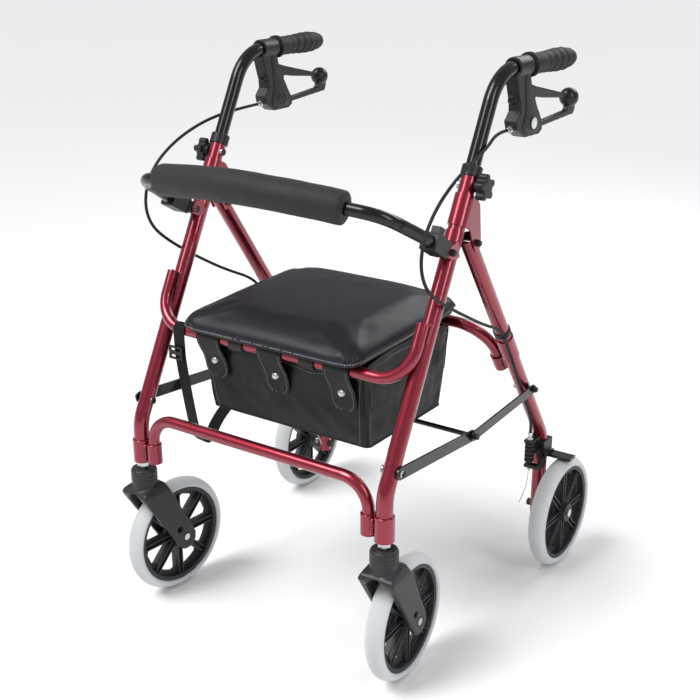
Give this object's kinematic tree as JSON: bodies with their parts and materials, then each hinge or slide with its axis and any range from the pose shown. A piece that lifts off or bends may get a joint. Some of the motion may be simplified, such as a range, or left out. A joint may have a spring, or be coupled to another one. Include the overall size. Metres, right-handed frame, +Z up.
{
  "type": "rollator walker",
  "caption": "Folding rollator walker with flip-up padded seat, bag, padded hoop backrest, height-adjustable handles, loop brakes and swivelling front wheels.",
  "frame": {"origin": "on the floor, at the centre of the walker's footprint", "axes": "+X towards the user's left, -Y forward (casters and backrest), +Z up"},
  "size_m": [0.604, 0.6501, 0.914],
  "materials": {
    "red_paint": "metallic gloss",
    "black_paint": "gloss",
    "zinc": "satin",
    "black_plastic": "matte",
    "rim_plastic": "matte",
    "tyre": "matte",
    "black_rubber": "matte",
    "seat_vinyl": "soft sheen",
    "foam": "matte",
    "bag_cloth": "matte"
  },
  "bodies": {
    "frame": {"front_leg_left": "red_paint", "front_leg_right": "red_paint", "lower_crossbar": "red_paint", "seat_tube": "red_paint", "leg_cups": "red_paint", "gussets": "red_paint", "leg_collars": "black_plastic", "caster_stems": "zinc", "backrest_ears": "red_paint", "frame_bolts": "zinc", "storage_bag": "bag_cloth", "lock_strap": "bag_cloth", "strap_buckle": "black_plastic", "brake_cable_left": "black_rubber", "brake_cable_right": "black_rubber"},
    "rear_frame": {"rear_leg_left": "red_paint", "rear_leg_right": "red_paint", "rear_tube": "red_paint", "rear_tube_cups": "red_paint", "rear_axles": "zinc", "brake_brackets": "black_plastic", "cable_boots": "black_rubber", "cable_adjusters": "zinc", "cable_clips": "black_plastic", "rear_frame_bolts": "zinc"},
    "front_links": {"front_braces": "black_paint", "cross_rod": "black_paint"},
    "rear_links": {"rear_braces": "black_paint"},
    "seat": {"seat_board": "black_plastic", "seat_cushion": "seat_vinyl", "seat_clips": "black_plastic"},
    "backrest": {"backrest_tube": "black_paint", "backrest_pad": "foam", "backrest_sockets": "black_plastic"},
    "button_left": {"backrest_button_left": "black_plastic"},
    "handle_left": {"handle_tube_left": "black_paint", "hand_grip_left": "black_rubber", "brake_housing_left": "black_plastic"},
    "lever_left": {"brake_lever_left": "black_plastic"},
    "knob_left": {"height_knob_left": "black_plastic"},
    "brake_left": {"brake_arm_left": "black_paint"},
    "caster_left": {"caster_fork_left": "black_plastic", "caster_axle_left": "zinc"},
    "front_wheel_left": {"front_tyre_left": "tyre", "front_rim_left": "rim_plastic"},
    "rear_wheel_left": {"rear_tyre_left": "tyre", "rear_rim_left": "rim_plastic"},
    "button_right": {"backrest_button_right": "black_plastic"},
    "handle_right": {"handle_tube_right": "black_paint", "hand_grip_right": "black_rubber", "brake_housing_right": "black_plastic"},
    "lever_right": {"brake_lever_right": "black_plastic"},
    "knob_right": {"height_knob_right": "black_plastic"},
    "brake_right": {"brake_arm_right": "black_paint"},
    "caster_right": {"caster_fork_right": "black_plastic", "caster_axle_right": "zinc"},
    "front_wheel_right": {"front_tyre_right": "tyre", "front_rim_right": "rim_plastic"},
    "rear_wheel_right": {"rear_tyre_right": "tyre", "rear_rim_right": "rim_plastic"}
  },
  "joints": [
    {"name": "frame_fold", "type": "hinge", "parent": "frame", "child": "rear_frame", "pos_m": [0, -0.0656, 0.655], "axis": [-1, 0, 0], "range_deg": [0, 28], "deforming": ["storage_bag", "lock_strap", "brake_cable_left", "brake_cable_right"]},
    {"name": "front_brace_fold", "type": "hinge", "parent": "frame", "child": "front_links", "pos_m": [0, -0.26798, 0.363], "axis": [1, 0, 0], "range_deg": [0, 40]},
    {"name": "rear_brace_fold", "type": "hinge", "parent": "rear_frame", "child": "rear_links", "pos_m": [0, 0.14376, 0.356], "axis": [-1, 0, 0], "range_deg": [0, 43.5]},
    {"name": "seat_flip", "type": "hinge", "parent": "frame", "child": "seat", "pos_m": [0, -0.2306, 0.483], "axis": [1, 0, 0], "range_deg": [0, 75]},
    {"name": "backrest_flip", "type": "hinge", "parent": "frame", "child": "backrest", "pos_m": [0, -0.1408, 0.6575], "axis": [-1, 0, 0], "range_deg": [0, 60]},
    {"name": "backrest_button_left_press", "type": "slide", "parent": "backrest", "child": "button_left", "axis": [0, -0.5, -0.866], "range_m": [0, 0.004], "stiffness_N_per_m": 500, "springref_m": -0.004},
    {"name": "handle_height_left", "type": "slide", "parent": "frame", "child": "handle_left", "axis": [0, 0.4617, 0.887], "range_m": [-0.025, 0.1]},
    {"name": "brake_lever_left_squeeze", "type": "hinge", "parent": "handle_left", "child": "lever_left", "pos_m": [0.24229, 0.09986, 0.808], "axis": [0.9989, -0.0471, 0], "range_deg": [0, 14], "stiffness_Nm_per_rad": 2, "springref_deg": -8.59},
    {"name": "height_knob_left_turn", "type": "hinge", "parent": "frame", "child": "knob_left", "pos_m": [0.262, -0.07173, 0.74], "axis": [1, 0, 0], "range_deg": [0, 360]},
    {"name": "rear_brake_left_press", "type": "hinge", "parent": "rear_frame", "child": "brake_left", "pos_m": [0.256, 0.199, 0.214], "axis": [-1, 0, 0], "range_deg": [0, 5]},
    {"name": "caster_swivel_left", "type": "hinge", "parent": "frame", "child": "caster_left", "pos_m": [0.238, -0.285, 0.22], "axis": [0, 0, 1], "continuous": true},
    {"name": "front_wheel_left_spin", "type": "hinge", "parent": "caster_left", "child": "front_wheel_left", "pos_m": [0.23457, -0.2236, 0.1], "axis": [0.9984, 0.0558, 0], "continuous": true},
    {"name": "rear_wheel_left_spin", "type": "hinge", "parent": "rear_frame", "child": "rear_wheel_left", "pos_m": [0.281, 0.226, 0.1], "axis": [1, 0, 0], "continuous": true},
    {"name": "backrest_button_right_press", "type": "slide", "parent": "backrest", "child": "button_right", "axis": [0, -0.5, -0.866], "range_m": [0, 0.004], "stiffness_N_per_m": 500, "springref_m": -0.004},
    {"name": "handle_height_right", "type": "slide", "parent": "frame", "child": "handle_right", "axis": [0, 0.4617, 0.887], "range_m": [-0.025, 0.1]},
    {"name": "brake_lever_right_squeeze", "type": "hinge", "parent": "handle_right", "child": "lever_right", "pos_m": [-0.24229, 0.09986, 0.808], "axis": [0.9989, 0.0471, 0], "range_deg": [0, 14], "stiffness_Nm_per_rad": 2, "springref_deg": -8.59},
    {"name": "height_knob_right_turn", "type": "hinge", "parent": "frame", "child": "knob_right", "pos_m": [-0.262, -0.07173, 0.74], "axis": [-1, 0, 0], "range_deg": [0, 360]},
    {"name": "rear_brake_right_press", "type": "hinge", "parent": "rear_frame", "child": "brake_right", "pos_m": [-0.256, 0.199, 0.214], "axis": [-1, 0, 0], "range_deg": [0, 5]},
    {"name": "caster_swivel_right", "type": "hinge", "parent": "frame", "child": "caster_right", "pos_m": [-0.238, -0.285, 0.22], "axis": [0, 0, 1], "continuous": true},
    {"name": "front_wheel_right_spin", "type": "hinge", "parent": "caster_right", "child": "front_wheel_right", "pos_m": [-0.23221, -0.22377, 0.1], "axis": [0.9956, -0.0941, 0], "continuous": true},
    {"name": "rear_wheel_right_spin", "type": "hinge", "parent": "rear_frame", "child": "rear_wheel_right", "pos_m": [-0.281, 0.226, 0.1], "axis": [1, 0, 0], "continuous": true}
  ],
  "couplings": [
    {"joint": "front_brace_fold", "follows": "frame_fold", "ratio": 1.4211},
    {"joint": "rear_brace_fold", "follows": "frame_fold", "ratio": 1.5486},
    {"joint": "rear_brake_left_press", "follows": "brake_lever_left_squeeze", "ratio": 0.35704},
    {"joint": "rear_brake_right_press", "follows": "brake_lever_right_squeeze", "ratio": 0.35704}
  ]
}
